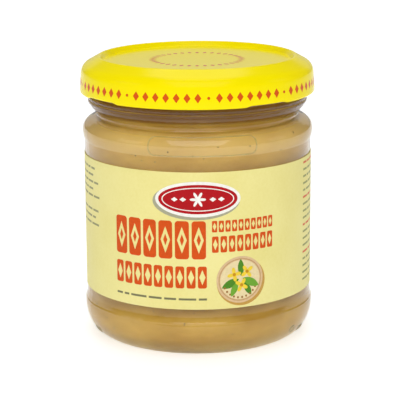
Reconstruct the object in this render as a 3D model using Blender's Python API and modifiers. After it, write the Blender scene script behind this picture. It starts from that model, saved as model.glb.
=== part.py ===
"""Glass jar of mustard with a wrap-round paper label and a twist-off metal lid.

The jar stands on Z = 0 with its axis on +Z, and the front of its label faces -Y. Sizes are in metres.
The jar is a 212 ml food jar with a 66 mm twist-off finish, so most sizes below are written in millimetres
and turned to metres by MM.
"""

import math

import bmesh
import bpy

MM = 0.001
SEGMENTS = 48
CHORD_ERROR = 0.07 * MM
CLEARANCE = 0.3 * MM
MERGE_DISTANCE = 0.01 * MM

# Jar: outer wall, from the base up
BEARING_OUTER = 27.2 * MM
BEARING_INNER = 25.4 * MM
PUSH_UP = 1.7 * MM
PUSH_UP_STEP = 1.6 * MM
PUSH_UP_SLOPE = 6.0 * MM
HEEL_RADIUS = 33.83 * MM
HEEL_HEIGHT = 9.2 * MM
HEEL_SHOULDER = 0.6 * MM
HEEL_ROUND = 3.0 * MM
HEEL_STEPS = 7
PANEL_RADIUS = 33.0 * MM
PANEL_LOW = 12.4 * MM
PANEL_HIGH = 58.4 * MM
PANEL_ROUND = 0.4 * MM
SHOULDER_RADIUS = 33.8 * MM
SHOULDER_HEIGHT = 61.1 * MM
SHOULDER_ROUND = 3.5 * MM
SHOULDER_UNDERCUT = 1.0 * MM
UNDERCUT_ROUND = 2.0 * MM
NECK_RADIUS = 29.3 * MM
NECK_HEIGHT = 66.2 * MM
NECK_ROUND = 1.0 * MM
COLLAR_RADIUS = 31.3 * MM
COLLAR_HEIGHT = 68.0 * MM
COLLAR_ROUND = 1.5 * MM
BEAD_RADIUS = 32.1 * MM
BEAD_LOW = 69.6 * MM
BEAD_HIGH = 71.0 * MM
BEAD_ROUND = 0.4 * MM
FINISH_RADIUS = 31.5 * MM
FINISH_FOOT = 0.6 * MM

# Jar: rim and inner wall
RIM_HEIGHT = 80.8 * MM
RIM_INNER = 28.9 * MM
RIM_INNER_ROUND = 0.9 * MM
RIM_OUTER_ROUND = 1.6 * MM
MOUTH_DEPTH = 2.6 * MM
BORE_RADIUS = 27.4 * MM
BORE_ROUND = 0.9 * MM
BORE_TOP = 77.9 * MM
CAVITY_SHOULDER = 63.6 * MM
WALL = 2.2 * MM
FLOOR_CENTRE = 4.0 * MM
FLOOR_MIDDLE = 3.6 * MM
FLOOR_EDGE = 2.4 * MM
FLOOR_ROUND = 5.2 * MM

# Mustard
FILL_HEIGHT = 73.0 * MM
SWELL_HEIGHT = 0.8 * MM

# Label
LABEL_THICKNESS = 0.15 * MM
LABEL_INNER = PANEL_RADIUS + 0.25 * MM
LABEL_LOW = 14.8 * MM
LABEL_HIGH = 54.4 * MM
LABEL_GAP_ARC = 9.0 * MM

# Lid
LID_METAL = 0.4 * MM
LID_LOW = 72.0 * MM
LID_HIGH = 82.5 * MM
SKIRT_RADIUS = 34.3 * MM
SKIRT_TOP_RADIUS = 33.85 * MM
SKIRT_TOP = 79.6 * MM
SKIRT_ROUND = 2.2 * MM
CREST_INNER = 28.3 * MM
CREST_OUTER = 28.9 * MM
CREST_ROUND = 0.7 * MM
RECESS_RADIUS = 27.4 * MM
RECESS_DEPTH = 1.4 * MM
RECESS_ROUND = 0.3 * MM
CURL_RADIUS = 0.65 * MM
CURL_TURN = -240
CURL_STEPS = 6
LUG_COUNT = 4
LUG_FIRST = math.radians(36.0)
LUG_SPAN = math.radians(22.0)
LUG_REACH = 1.1 * MM
LUG_HEIGHT = 1.0 * MM
LUG_LIFT = 0.35 * MM
LUG_STEPS = 4


def clear_scene():
    """Empty the file, so that the model is the same however often it is made."""
    for old in list(bpy.data.objects):
        bpy.data.objects.remove(old, do_unlink=True)
    for old in list(bpy.data.collections):
        bpy.data.collections.remove(old)


def material(name, colour, roughness, metallic=0.0, transmission=0.0):
    """One Principled material for one sub-part."""
    mat = bpy.data.materials.new(name)
    mat.use_nodes = True
    shader = mat.node_tree.nodes["Principled BSDF"]
    shader.inputs["Base Color"].default_value = (*colour, 1.0)
    shader.inputs["Roughness"].default_value = roughness
    shader.inputs["Metallic"].default_value = metallic
    shader.inputs["Transmission Weight"].default_value = transmission
    mat.diffuse_color = (*colour, 1.0)
    return mat


def arc_steps(radius, turn):
    """How many chords follow an arc within the chord error."""
    largest = 2 * math.acos(1.0 - min(CHORD_ERROR / radius, 0.5))
    return max(1, math.ceil(abs(turn) / largest))


def rounded(corners):
    """A line through corners (radius, height, rounding), each corner turned to an arc of that rounding."""
    points = []
    for index, (radius, height, rounding) in enumerate(corners):
        if index in (0, len(corners) - 1) or rounding == 0.0:
            points.append((radius, height))
            continue
        before = corners[index - 1]
        after = corners[index + 1]
        ax, az = before[0] - radius, before[1] - height
        bx, bz = after[0] - radius, after[1] - height
        a_len, b_len = math.hypot(ax, az), math.hypot(bx, bz)
        ax, az, bx, bz = ax / a_len, az / a_len, bx / b_len, bz / b_len
        half = math.acos(max(-1.0, min(1.0, ax * bx + az * bz))) / 2
        mid_x, mid_z = ax + bx, az + bz
        mid_len = math.hypot(mid_x, mid_z)
        centre_x = radius + mid_x / mid_len * rounding / math.sin(half)
        centre_z = height + mid_z / mid_len * rounding / math.sin(half)
        reach = rounding / math.tan(half)
        start = math.atan2(height + az * reach - centre_z, radius + ax * reach - centre_x)
        end = math.atan2(height + bz * reach - centre_z, radius + bx * reach - centre_x)
        turn = (end - start + math.pi) % (2 * math.pi) - math.pi
        steps = arc_steps(rounding, turn)
        for step in range(steps + 1):
            angle = start + turn * step / steps
            points.append((centre_x + rounding * math.cos(angle), centre_z + rounding * math.sin(angle)))
    return points


def ellipse_points(centre, half_width, half_height, start, end, steps):
    """Points along part of an ellipse, its angles in degrees."""
    points = []
    for step in range(steps + 1):
        angle = math.radians(start + (end - start) * step / steps)
        points.append((centre[0] + half_width * math.cos(angle), centre[1] + half_height * math.sin(angle)))
    return points


def turned(name, profile, collection, mat, angle=2 * math.pi, steps=SEGMENTS):
    """Turn a profile of (radius, height) points round the Z axis into an object."""
    mesh = bpy.data.meshes.new(name)
    vertices = [(radius, 0.0, height) for radius, height in profile]
    edges = [(index, index + 1) for index in range(len(profile) - 1)]
    mesh.from_pydata(vertices, edges, [])
    obj = bpy.data.objects.new(name, mesh)
    collection.objects.link(obj)
    screw = obj.modifiers.new("turn", "SCREW")
    screw.axis = "Z"
    screw.angle = angle
    screw.steps = steps
    screw.render_steps = steps
    screw.use_merge_vertices = True
    screw.merge_threshold = MERGE_DISTANCE
    screw.use_smooth_shade = True
    obj.data.materials.append(mat)
    return obj


def cavity_profile(inset, top):
    """The inner wall from the floor's centre up to a height, drawn in by an inset."""
    wall = PANEL_RADIUS - WALL - inset
    bore = BORE_RADIUS - inset
    floor = rounded([
        (0.0, FLOOR_CENTRE + inset, 0.0),
        (wall / 2, FLOOR_MIDDLE + inset, 0.0),
        (wall, FLOOR_EDGE + inset, FLOOR_ROUND - inset),
        (wall, SHOULDER_HEIGHT, 0.0),
    ])
    upper = rounded([
        (wall, PANEL_LOW, 0.0),
        (wall, CAVITY_SHOULDER, SHOULDER_ROUND),
        (bore, CAVITY_SHOULDER, BORE_ROUND),
        (bore, top, 0.0),
    ])
    return floor[:-1] + upper[1:]


def outer_profile():
    """The outer wall from the rim's inner edge down to the middle of the base."""
    rim_to_heel = rounded([
        (BORE_RADIUS, RIM_HEIGHT - MOUTH_DEPTH, 0.0),
        (RIM_INNER, RIM_HEIGHT, RIM_INNER_ROUND),
        (FINISH_RADIUS, RIM_HEIGHT, RIM_OUTER_ROUND),
        (FINISH_RADIUS, BEAD_HIGH + FINISH_FOOT, 0.0),
        (BEAD_RADIUS, BEAD_HIGH, BEAD_ROUND),
        (BEAD_RADIUS, BEAD_LOW, BEAD_ROUND),
        (COLLAR_RADIUS, COLLAR_HEIGHT, COLLAR_ROUND),
        (NECK_RADIUS, NECK_HEIGHT, NECK_ROUND),
        (NECK_RADIUS, SHOULDER_HEIGHT + SHOULDER_ROUND, NECK_ROUND / 2),
        (SHOULDER_RADIUS, SHOULDER_HEIGHT + SHOULDER_ROUND, SHOULDER_ROUND),
        (SHOULDER_RADIUS, SHOULDER_HEIGHT - SHOULDER_UNDERCUT, UNDERCUT_ROUND),
        (PANEL_RADIUS, PANEL_HIGH, PANEL_ROUND),
        (PANEL_RADIUS, PANEL_LOW, PANEL_ROUND),
        (HEEL_RADIUS, HEEL_HEIGHT + HEEL_SHOULDER, HEEL_ROUND),
        (HEEL_RADIUS, HEEL_HEIGHT, 0.0),
    ])
    heel_width = HEEL_RADIUS - BEARING_OUTER
    heel = ellipse_points((BEARING_OUTER, HEEL_HEIGHT), heel_width, HEEL_HEIGHT, 0, -90, HEEL_STEPS)
    push_up = [
        (BEARING_INNER, 0.0),
        (BEARING_INNER - PUSH_UP_STEP, PUSH_UP / 2),
        (BEARING_INNER - PUSH_UP_SLOPE, PUSH_UP * 0.85),
        (0.0, PUSH_UP),
    ]
    return rim_to_heel + heel[1:] + push_up


def make_jar(collection):
    """The glass: a cavity with a domed floor, a rounded heel, a label panel, a shoulder and a beaded neck."""
    glass = material("jar glass", (0.86, 0.91, 0.86), 0.05, transmission=0.9)
    profile = cavity_profile(0.0, BORE_TOP) + outer_profile()
    return turned("glass_jar", profile, collection, glass)


def make_mustard(collection):
    """The mustard fills the cavity to just above the lid's lower edge, with a low swell to its top."""
    paste = material("mustard paste", (0.60, 0.37, 0.10), 0.45)
    side = cavity_profile(CLEARANCE, FILL_HEIGHT)
    top = [(0.0, FILL_HEIGHT + SWELL_HEIGHT), (BORE_RADIUS / 2, FILL_HEIGHT + SWELL_HEIGHT * 0.8)]
    return turned("mustard", top + side[::-1], collection, paste)


def make_label(collection):
    """The label: a strip of paper bent round the panel, its two ends a few millimetres apart at the back."""
    paper = material("label paper", (0.84, 0.78, 0.30), 0.5)
    gap = LABEL_GAP_ARC / LABEL_INNER
    angle = 2 * math.pi - gap
    edge = [(LABEL_INNER, LABEL_HIGH), (LABEL_INNER, LABEL_LOW)]
    label = turned("label", edge, collection, paper, angle=angle)
    label.rotation_euler[2] = math.pi / 2 + gap / 2
    body = label.modifiers.new("paper thickness", "SOLIDIFY")
    body.thickness = LABEL_THICKNESS
    body.offset = 1.0
    body.use_even_offset = True
    return label


def lid_profile():
    """The lid's section: down the outside from the middle of its top, round the curl, up the inside."""
    panel = LID_HIGH - RECESS_DEPTH
    under_crest = LID_HIGH - LID_METAL
    half_metal = LID_METAL / 2
    outside = rounded([
        (0.0, panel, 0.0),
        (RECESS_RADIUS, panel, RECESS_ROUND),
        (CREST_INNER, LID_HIGH, CREST_ROUND),
        (CREST_OUTER, LID_HIGH, CREST_ROUND),
        (SKIRT_TOP_RADIUS, SKIRT_TOP, SKIRT_ROUND),
        (SKIRT_RADIUS, LID_LOW + 2 * CURL_RADIUS, 0.0),
    ])
    curl_centre = (SKIRT_RADIUS - CURL_RADIUS, LID_LOW + CURL_RADIUS)
    curl = ellipse_points(curl_centre, CURL_RADIUS, CURL_RADIUS, 0, CURL_TURN, CURL_STEPS)
    inside = rounded([
        (SKIRT_RADIUS - LID_METAL, LID_LOW + 2.4 * CURL_RADIUS, 0.0),
        (SKIRT_TOP_RADIUS - LID_METAL, SKIRT_TOP - half_metal, SKIRT_ROUND - LID_METAL),
        (CREST_OUTER - half_metal / 2, under_crest, CREST_ROUND - LID_METAL),
        (CREST_INNER + half_metal, under_crest, 0.0),
        (RECESS_RADIUS + half_metal, panel - LID_METAL, 0.0),
        (0.0, panel - LID_METAL, 0.0),
    ])
    return outside + curl + inside


def make_lug(name, centre_angle, collection):
    """One lug: a short piece of the curl pressed in towards the neck, as a block bent to the skirt."""
    mesh = bpy.data.meshes.new(name)
    outer = SKIRT_RADIUS - CURL_RADIUS
    inner = outer - CURL_RADIUS - LUG_REACH
    low = LID_LOW + LUG_LIFT
    high = low + LUG_HEIGHT
    form = bmesh.new()
    rings = []
    for step in range(LUG_STEPS + 1):
        angle = centre_angle + LUG_SPAN * (step / LUG_STEPS - 0.5)
        corners = [(outer, low), (inner, low), (inner, high), (outer, high)]
        rings.append([form.verts.new((r * math.cos(angle), r * math.sin(angle), z)) for r, z in corners])
    for first, second in zip(rings, rings[1:]):
        for side in range(len(first)):
            form.faces.new((first[side], first[side - 1], second[side - 1], second[side]))
    form.faces.new(rings[0])
    form.faces.new(rings[-1][::-1])
    bmesh.ops.recalc_face_normals(form, faces=form.faces)
    form.to_mesh(mesh)
    form.free()
    lug = bpy.data.objects.new(name, mesh)
    lug.hide_render = True
    lug.display_type = "WIRE"
    collection.objects.link(lug)
    return lug


def make_lid(collection, tools):
    """The lid: a pressed metal cap with a sunk top, a raised ring, a curled lower edge and inner lugs."""
    enamel = material("lid enamel", (0.98, 0.85, 0.0), 0.22)
    lid = turned("lid", lid_profile(), collection, enamel)
    for index in range(LUG_COUNT):
        angle = -math.pi / 2 + LUG_FIRST + index * 2 * math.pi / LUG_COUNT
        lug = make_lug(f"lug_{index + 1}", angle, tools)
        join = lid.modifiers.new(f"lug {index + 1}", "BOOLEAN")
        join.operation = "UNION"
        join.solver = "EXACT"
        join.object = lug
    return lid


def main():
    clear_scene()
    jar_parts = bpy.data.collections.new("mustard_jar")
    tools = bpy.data.collections.new("lug_shapes")
    bpy.context.scene.collection.children.link(jar_parts)
    bpy.context.scene.collection.children.link(tools)
    make_jar(jar_parts)
    make_mustard(jar_parts)
    make_label(jar_parts)
    make_lid(jar_parts, tools)


main()
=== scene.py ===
# %% [markdown]
# # A jar of mustard
#
# The jar is made in the order in which a factory makes it: moulded glass, the mustard inside it, a paper
# label with its print, and a pressed metal lid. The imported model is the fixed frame. Its sizes are right, so
# this lesson gives every piece its fine shape and its finish, and never moves or resizes anything.

# %% Load the frame
import math
import random

import bmesh
import bpy
from mathutils import Matrix, Vector


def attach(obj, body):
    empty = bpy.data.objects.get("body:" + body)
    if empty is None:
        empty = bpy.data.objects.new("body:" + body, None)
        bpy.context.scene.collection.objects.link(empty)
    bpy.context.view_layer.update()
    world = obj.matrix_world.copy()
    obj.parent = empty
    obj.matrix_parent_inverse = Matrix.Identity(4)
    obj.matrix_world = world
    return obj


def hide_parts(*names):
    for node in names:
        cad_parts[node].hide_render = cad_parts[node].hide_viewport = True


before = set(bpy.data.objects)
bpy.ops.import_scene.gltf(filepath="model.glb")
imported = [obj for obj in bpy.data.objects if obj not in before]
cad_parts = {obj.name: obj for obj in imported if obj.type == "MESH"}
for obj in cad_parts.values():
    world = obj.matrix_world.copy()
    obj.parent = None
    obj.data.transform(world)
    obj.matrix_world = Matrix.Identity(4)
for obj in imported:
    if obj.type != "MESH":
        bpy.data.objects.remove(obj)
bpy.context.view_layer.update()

print("nodes:", sorted(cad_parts))

# %% [markdown]
# ## Units, colours and nodes
#
# All sizes are real millimetres times MM, because Blender counts in metres. Colours are picked as sRGB hex
# codes, as a printer would give them, and shaders want linear light, so one function converts them. One more
# small function adds a node, gives it its settings and fills its inputs, which keeps each tree readable.
# A material is made from a recipe, a function that builds its surface. Every pattern lies on Object
# coordinates, so it stays put on its piece.

# %% Units, colours and nodes
MM = 0.001
FULL_TURN = 2 * math.pi


def linear(code):
    """An sRGB hex colour as the linear red, green, blue and alpha that a shader reads."""
    channels = [int(code[i:i + 2], 16) / 255 for i in (0, 2, 4)]
    return tuple(c / 12.92 if c <= 0.04045 else ((c + 0.055) / 1.055) ** 2.4 for c in channels) + (1.0,)


def add(tree, kind, inputs=None, **settings):
    """Adds a node. An input is linked to a socket, or to a node's first output, or set to any other value."""
    node = tree.nodes.new(kind)
    for name, value in settings.items():
        setattr(node, name, value)
    for key, value in (inputs or {}).items():
        given = value.outputs[0] if isinstance(value, bpy.types.Node) else value
        if isinstance(given, bpy.types.NodeSocket):
            tree.links.new(given, node.inputs[key])
        else:
            node.inputs[key].default_value = given
    return node


def new_material(name, recipe, *values):
    """A material from a recipe, which gets a tree and Object coordinates and returns the surface's node."""
    made = bpy.data.materials.new(name)
    made.use_nodes = True
    tree = made.node_tree
    tree.nodes.clear()
    place = add(tree, "ShaderNodeTexCoord").outputs["Object"]
    add(tree, "ShaderNodeOutputMaterial", {"Surface": recipe(tree, place, *values)})
    return made


print("one millimetre is", MM, "units")

# %% [markdown]
# ## The camera
#
# The jar was seen from half a metre away and a little above, through a long lens. A lens of 155 mm on a 36
# mm sensor keeps the sides nearly parallel. The camera looks down by 13 degrees instead of shifting its
# lens, and it is turned by a third of a degree, because the jar stood a little askew in the frame.

# %% Camera
CAMERA_PLACE = (0.6 * MM, -500 * MM, 155.7 * MM)
CAMERA_PITCH = 13.16
CAMERA_ROLL = -0.35
LENS = 155.2
SENSOR = 36.0


def into_scene(name, data):
    """A new object with this data, at the origin of the scene."""
    made = bpy.data.objects.new(name, data)
    bpy.context.scene.collection.objects.link(made)
    return made


camera_data = bpy.data.cameras.new("camera")
camera_data.lens = LENS
camera_data.sensor_width = SENSOR
camera = into_scene("camera", camera_data)
tilt = Matrix.Rotation(math.radians(90 - CAMERA_PITCH), 4, "X")
roll = Matrix.Rotation(math.radians(CAMERA_ROLL), 4, "Z")
camera.matrix_world = Matrix.Translation(CAMERA_PLACE) @ tilt @ roll
bpy.context.scene.camera = camera
print("half the view is", round(math.degrees(math.atan(SENSOR / 2 / LENS)), 2), "degrees")

# %% [markdown]
# ## Profiles
#
# A jar, its filling and its lid are round, so each is one profile turned about the upright axis. A profile
# is a short list of corners, each with the radius of its rounding, and one function swaps every corner for
# an arc. Another adds points along the straight runs where a fine ridge has to fit in.

# %% Profiles
ARC_STEP = math.radians(9)


def rounded(corners):
    """A line through corners (radius, height, rounding) in mm, each corner swapped for an arc."""
    points = []
    for index, (radius, height, rounding) in enumerate(corners):
        here = Vector((radius, height))
        if index in (0, len(corners) - 1) or rounding == 0:
            points.append(here)
            continue
        back = (Vector(corners[index - 1][:2]) - here).normalized()
        ahead = (Vector(corners[index + 1][:2]) - here).normalized()
        half = back.angle(ahead) / 2
        centre = here + (back + ahead).normalized() * (rounding / math.sin(half))
        first = here + back * (rounding / math.tan(half)) - centre
        last = here + ahead * (rounding / math.tan(half)) - centre
        start = math.atan2(first.y, first.x)
        sweep = (math.atan2(last.y, last.x) - start + math.pi) % FULL_TURN - math.pi
        steps = max(2, math.ceil(abs(sweep) / ARC_STEP))
        angles = [start + sweep * step / steps for step in range(steps + 1)]
        points += [centre + rounding * Vector((math.cos(a), math.sin(a))) for a in angles]
    return points


def arc(centre, width, height, start, end, steps):
    """Points along part of an ellipse, with its angles in degrees."""
    angles = [math.radians(start + (end - start) * step / steps) for step in range(steps + 1)]
    return [Vector((centre[0] + width * math.cos(a), centre[1] + height * math.sin(a))) for a in angles]


def dense(points, spacing):
    """The same line with extra points, so that no run between two of them is longer than the spacing."""
    line = [points[0]]
    for before, after in zip(points, points[1:]):
        steps = max(1, math.ceil((after - before).length / spacing))
        line += [before.lerp(after, step / steps) for step in range(1, steps + 1)]
    return line


print("a right-angled corner becomes", len(rounded([(0, 0, 0), (9, 0, 1), (9, 9, 0)])) - 2, "points")

# %% [markdown]
# ## A tree that turns a profile
#
# Blender can turn a profile with the Screw modifier, but a Geometry Nodes tree shows how it works: a grid has
# one column of points for each step round the axis, and each column gets the profile's points, turned by that
# column's angle. Where the last column meets the first, and at the axis, the doubles are merged, so the shape
# is closed. A helper runs a tree on a mesh and keeps the result as a plain mesh.

# %% Both ends of a tree
def new_tree(name, inputs):
    """A Geometry Nodes tree with these named inputs and one output, and the sockets of its inputs."""
    tree = bpy.data.node_groups.new(name, "GeometryNodeTree")
    tree.is_modifier = True
    for label, kind in inputs:
        tree.interface.new_socket(name=label, in_out="INPUT", socket_type=kind)
    tree.interface.new_socket(name="Shape", in_out="OUTPUT", socket_type="NodeSocketGeometry")
    return tree, add(tree, "NodeGroupInput").outputs


def close_tree(tree, shape, material, smooth=True):
    """The end of every tree: real faces instead of instances, then shading and material, then the output."""
    real = add(tree, "GeometryNodeRealizeInstances", {"Geometry": shape})
    shaded = add(tree, "GeometryNodeSetShadeSmooth", {"Geometry": real, "Shade Smooth": smooth})
    coloured = add(tree, "GeometryNodeSetMaterial", {"Geometry": shaded, "Material": material})
    add(tree, "NodeGroupOutput", {"Shape": coloured})


print("each tree ends in real faces with a material")

# %% The turning tree
WELD = 0.001 * MM


def turning_tree():
    """Turns the profile mesh, whose points run upwards on the outside, about the Z axis."""
    tree, given = new_tree("Turn a profile", (
        ("Profile", "NodeSocketGeometry"), ("Segments", "NodeSocketInt"),
        ("Weld", "NodeSocketFloat"), ("Material", "NodeSocketMaterial")))
    size = add(tree, "GeometryNodeAttributeDomainSize", {"Geometry": given["Profile"]}, component="MESH")
    count = size.outputs["Point Count"]
    columns = add(tree, "ShaderNodeMath", {0: given["Segments"], 1: 1.0}, operation="ADD")
    grid = add(tree, "GeometryNodeMeshGrid", {"Vertices X": columns, "Vertices Y": count}).outputs["Mesh"]
    index = add(tree, "GeometryNodeInputIndex")
    middle = add(tree, "ShaderNodeMath", {0: index, 1: 0.5}, operation="ADD")
    share = add(tree, "ShaderNodeMath", {0: middle, 1: count}, operation="DIVIDE")
    column = add(tree, "ShaderNodeMath", {0: share}, operation="FLOOR")
    skipped = add(tree, "ShaderNodeMath", {0: column, 1: count}, operation="MULTIPLY")
    row = add(tree, "ShaderNodeMath", {0: index, 1: skipped}, operation="SUBTRACT")
    part = add(tree, "ShaderNodeMath", {0: column, 1: given["Segments"]}, operation="DIVIDE")
    angle = add(tree, "ShaderNodeMath", {0: part, 1: FULL_TURN}, operation="MULTIPLY")
    place = add(tree, "GeometryNodeInputPosition")
    point = add(tree, "GeometryNodeSampleIndex", {"Geometry": given["Profile"], "Value": place, "Index": row},
                data_type="FLOAT_VECTOR", domain="POINT")
    turned = add(tree, "ShaderNodeVectorRotate", {"Vector": point, "Angle": angle}, rotation_type="Z_AXIS")
    shape = add(tree, "GeometryNodeSetPosition", {"Geometry": grid, "Position": turned})
    closed = add(tree, "GeometryNodeMergeByDistance", {"Geometry": shape, "Distance": given["Weld"]})
    close_tree(tree, closed, given["Material"])
    return tree


TURNING = turning_tree()
print("turning tree has", len(TURNING.nodes), "nodes")

# %% Growing a piece
def as_mesh(worker):
    """The worker's evaluated shape as a plain mesh."""
    graph = bpy.context.evaluated_depsgraph_get()
    return bpy.data.meshes.new_from_object(worker.evaluated_get(graph), depsgraph=graph)


def grow(name, tree, values, start=None):
    """Runs a tree on a start mesh with these input values, and keeps the result as a plain mesh."""
    worker = into_scene(name, start or bpy.data.meshes.new(name))
    modifier = worker.modifiers.new("tree", "NODES")
    modifier.node_group = tree
    sockets = {s.name: s.identifier for s in tree.interface.items_tree if s.in_out == "INPUT"}
    for label, value in values.items():
        modifier[sockets[label]] = value
    result = as_mesh(worker)
    worker.modifiers.remove(modifier)
    worker.data = result
    result.name = name
    return worker


def turned_piece(name, points, segments, material):
    """One round piece from the points of its profile in mm."""
    profile = bpy.data.meshes.new(name + " profile")
    corners = [(p.x * MM, 0.0, p.y * MM) for p in points]
    profile.from_pydata(corners, [(i, i + 1) for i in range(len(corners) - 1)], [])
    piece = grow(name, TURNING, {"Segments": segments, "Weld": WELD, "Material": material}, profile)
    form = bmesh.new()
    form.from_mesh(piece.data)
    if form.calc_volume(signed=True) < 0:
        bmesh.ops.reverse_faces(form, faces=form.faces)
        form.to_mesh(piece.data)
    volume = form.calc_volume() / MM ** 3 / 1000
    form.free()
    print(name, len(piece.data.polygons), "faces,", round(volume, 1), "ml")
    return piece


def dress(piece, slot, *nodes):
    """The piece moves with the jar and stands for these CAD nodes; the slot is not used."""
    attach(piece, "root")
    if nodes:
        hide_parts(*nodes)


# %% [markdown]
# ## Moulded glass
#
# Food jars are soda-lime glass, blown and pressed in a mould. Its refractive index is 1.52, and its iron
# makes it faintly green where one looks through a lot of it. The mould leaves the surface very slightly
# rippled, which bends reflections, so a broad, weak bump goes under the gloss. A product photographer's
# polarising filter takes more than half of the reflections off, so the specular level is low. Lamps would
# hardly get through a solid refracting glass in a path tracer, so shadow rays see clear glass and the
# mustard behind it is lit.

# %% Glass material
GLASS_INDEX = 1.52
RIPPLE_WIDTH = 7 * MM


def moulded_glass(tree, place):
    """Clear soda-lime glass, moulded: soft reflections that wander a little."""
    ripple = add(tree, "ShaderNodeTexNoise", {"Vector": place, "Scale": 1 / RIPPLE_WIDTH, "Detail": 1.0})
    bump = add(tree, "ShaderNodeBump", {"Height": ripple, "Strength": 0.35, "Distance": 0.08 * MM})
    glass = add(tree, "ShaderNodeBsdfPrincipled", {
        "Base Color": linear("F1F6EC"), "Roughness": 0.1, "IOR": GLASS_INDEX, "Specular IOR Level": 0.19,
        "Transmission Weight": 1.0, "Normal": bump})
    clear = add(tree, "ShaderNodeBsdfTransparent", {"Color": linear("F4F8F0")})
    ray = add(tree, "ShaderNodeLightPath").outputs["Is Shadow Ray"]
    return add(tree, "ShaderNodeMixShader", {0: ray, 1: glass, 2: clear})


GLASS = new_material("Soda-lime glass, moulded", moulded_glass)
print("made", GLASS.name, "with an index of", GLASS_INDEX)

# %% [markdown]
# ## The jar
#
# From the table up, the outside runs over a bearing ring and a round heel to the straight panel, which is
# set back to protect the label. The shoulder bulges out over it: its lower half is a tall ellipse that meets
# the panel in a crisp edge, its upper half is a circle. A waist, a collar and two beads follow below the
# lid, then the rim. The inside is plainer. The two halves of the mould and its base plate meet in fine
# raised lines: one ring above the heel, and a seam up each side. The ring goes into the profile, and the
# seams are pressed out of the turned mesh afterwards.

# %% Jar sizes
JAR_SEGMENTS = 360
BEARING_OUTER, BEARING_INNER = 27.2, 25.4
PUSH_UP = 1.7
HEEL_RADIUS, HEEL_HEIGHT = 33.83, 9.2
PANEL_RADIUS, PANEL_LOW, PANEL_HIGH = 33.25, 12.4, 58.45
SHOULDER_RADIUS, SHOULDER_HEIGHT, SHOULDER_ROUND = 33.8, 61.1, 3.5
SHOULDER_CORE, BULGE_DROP = 30.3, 5.0
NECK_RADIUS, NECK_HEIGHT = 29.3, 66.2
COLLAR_RADIUS, COLLAR_HEIGHT = 31.3, 68.0
BEAD_RADIUS, BEAD_LOW, BEAD_HIGH = 32.1, 69.3, 71.0
FINISH_RADIUS = 31.5
RIM_HEIGHT, RIM_INNER, MOUTH_DEPTH = 80.8, 28.9, 2.6
BORE_RADIUS, BORE_TOP = 27.4, 77.9
CAVITY_SHOULDER = 63.6
WALL_RADIUS = 30.8
FLOOR_CENTRE, FLOOR_MIDDLE, FLOOR_EDGE, FLOOR_ROUND = 4.0, 3.6, 2.4, 5.2
PARTING_HEIGHT, PARTING_REACH, PARTING_WIDTH = 10.6, 0.13, 0.2
SEAM_ANGLES = (200.0, 20.0)
SEAM_REACH, SEAM_WIDTH = 0.05, 0.6
FINE_LOW, FINE_SPACING = 9.0, 0.15
print("the jar is", 2 * SHOULDER_RADIUS, "mm wide at the shoulder and", RIM_HEIGHT, "mm high")

# %% Jar sections
def cavity(grow_by, top):
    """The hollow's section from the middle of its floor up the wall into the neck, larger by grow_by mm."""
    wall, bore = WALL_RADIUS + grow_by, BORE_RADIUS + grow_by
    low = rounded([
        (0.0, FLOOR_CENTRE - grow_by, 0), (wall / 2, FLOOR_MIDDLE - grow_by, 0),
        (wall, FLOOR_EDGE - grow_by, FLOOR_ROUND), (wall, SHOULDER_HEIGHT, 0)])
    high = rounded([
        (wall, PANEL_LOW, 0), (wall, CAVITY_SHOULDER, SHOULDER_ROUND),
        (bore, CAVITY_SHOULDER, 0.9), (bore, top, 0)])
    return low[:-1] + high[1:]


def outside():
    """The jar's outer section from the middle of its base up to the mouth."""
    base = [Vector((0, PUSH_UP)), Vector((12, PUSH_UP * 0.97)), Vector((BEARING_INNER - 6, PUSH_UP * 0.85)),
            Vector((BEARING_INNER - 1.6, PUSH_UP / 2)), Vector((BEARING_INNER, 0))]
    heel = arc((BEARING_OUTER, HEEL_HEIGHT), HEEL_RADIUS - BEARING_OUTER, HEEL_HEIGHT, -90, 0, 28)
    upper = rounded([
        (HEEL_RADIUS, HEEL_HEIGHT, 0), (HEEL_RADIUS, HEEL_HEIGHT + 0.6, 3.0), (PANEL_RADIUS, PANEL_LOW, 0.5),
        (PANEL_RADIUS, PANEL_HIGH, 0)])
    core, reach = (SHOULDER_CORE, SHOULDER_HEIGHT), SHOULDER_RADIUS - SHOULDER_CORE
    bulge = arc(core, reach, BULGE_DROP, -30, 0, 16) + arc(core, reach, SHOULDER_ROUND, 0, 84, 30)[1:]
    throat = rounded([
        (*bulge[-1], 0), (NECK_RADIUS, SHOULDER_HEIGHT + SHOULDER_ROUND + 0.12, 0.9),
        (NECK_RADIUS, NECK_HEIGHT, 0.9),
        (COLLAR_RADIUS, COLLAR_HEIGHT, 1.5), (COLLAR_RADIUS + 0.2, BEAD_LOW - 0.4, 0.2),
        (BEAD_RADIUS, BEAD_LOW, 0.25), (BEAD_RADIUS, BEAD_LOW + 0.6, 0.25),
        (BEAD_RADIUS - 0.45, BEAD_LOW + 0.85, 0.15),
        (BEAD_RADIUS, BEAD_HIGH - 0.55, 0.25), (BEAD_RADIUS, BEAD_HIGH, 0.25),
        (FINISH_RADIUS, BEAD_HIGH + 0.6, 0.3), (FINISH_RADIUS, RIM_HEIGHT, 1.6),
        (RIM_INNER, RIM_HEIGHT, 0.9), (BORE_RADIUS, RIM_HEIGHT - MOUTH_DEPTH, 0)])
    line = base + heel + upper[1:] + bulge + throat[1:]
    points = [line[0]]
    for before, after in zip(line, line[1:]):
        fine = FINE_LOW <= before.y <= PANEL_LOW and before.x > WALL_RADIUS
        points += dense([before, after], FINE_SPACING if fine else RIM_HEIGHT)[1:]
    return points


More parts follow.
